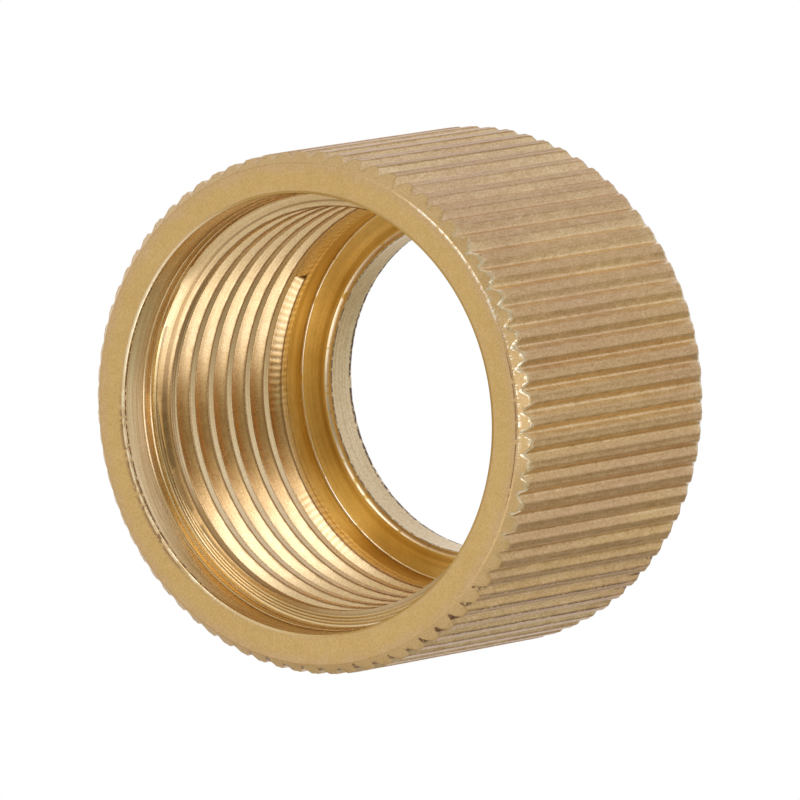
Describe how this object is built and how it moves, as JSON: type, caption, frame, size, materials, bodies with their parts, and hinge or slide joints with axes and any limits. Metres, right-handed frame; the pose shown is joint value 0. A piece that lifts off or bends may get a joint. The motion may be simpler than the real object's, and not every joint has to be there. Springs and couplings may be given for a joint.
{
  "type": "knurled thumb nut",
  "caption": "Round brass coupling nut with a straight-knurled grip, an internally threaded mouth and an inner lip round a through bore.",
  "frame": {"origin": "centre of the flat face of the inner lip, which the nut stands on", "axes": "+Z along the nut's axis, from the inner lip towards the threaded mouth; +X through the bottom of one knurl groove"},
  "size_m": [0.024, 0.024, 0.0153],
  "materials": {
    "brass": "matte turned brass, brighter on the thread"
  },
  "bodies": {
    "root": {"knurled_nut": "brass"}
  },
  "joints": []
}
